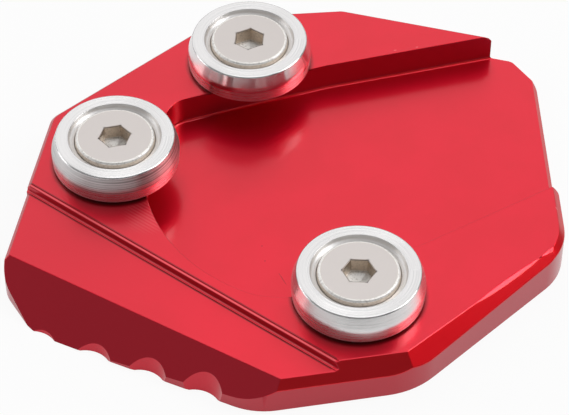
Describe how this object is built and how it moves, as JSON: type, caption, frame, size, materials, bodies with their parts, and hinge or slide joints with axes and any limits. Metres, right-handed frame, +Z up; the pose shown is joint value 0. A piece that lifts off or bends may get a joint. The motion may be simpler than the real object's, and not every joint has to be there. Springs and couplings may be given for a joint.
{
  "type": "kickstand foot enlarger",
  "caption": "Milled plate with an open pocket for a side stand's foot, clamped by countersunk washers under flat-head socket screws, to spread the stand's load on soft ground.",
  "frame": {"origin": "middle of the plate's box, on the ground it stands on", "axes": "+Z up, +X towards the pocket's open mouth, +Y to the back of the plate"},
  "size_m": [0.08, 0.0754, 0.0113],
  "materials": {
    "red_anodised": "red anodised over fine milling",
    "turned_aluminium": "bare, turned, with fine lathe rings",
    "screw_steel": "plain stainless, satin"
  },
  "bodies": {
    "root": {"base_plate": "red_anodised", "clamp_washer_left": "turned_aluminium", "clamp_washer_back": "turned_aluminium", "clamp_washer_front": "turned_aluminium", "clamp_screws": "screw_steel"}
  },
  "joints": []
}
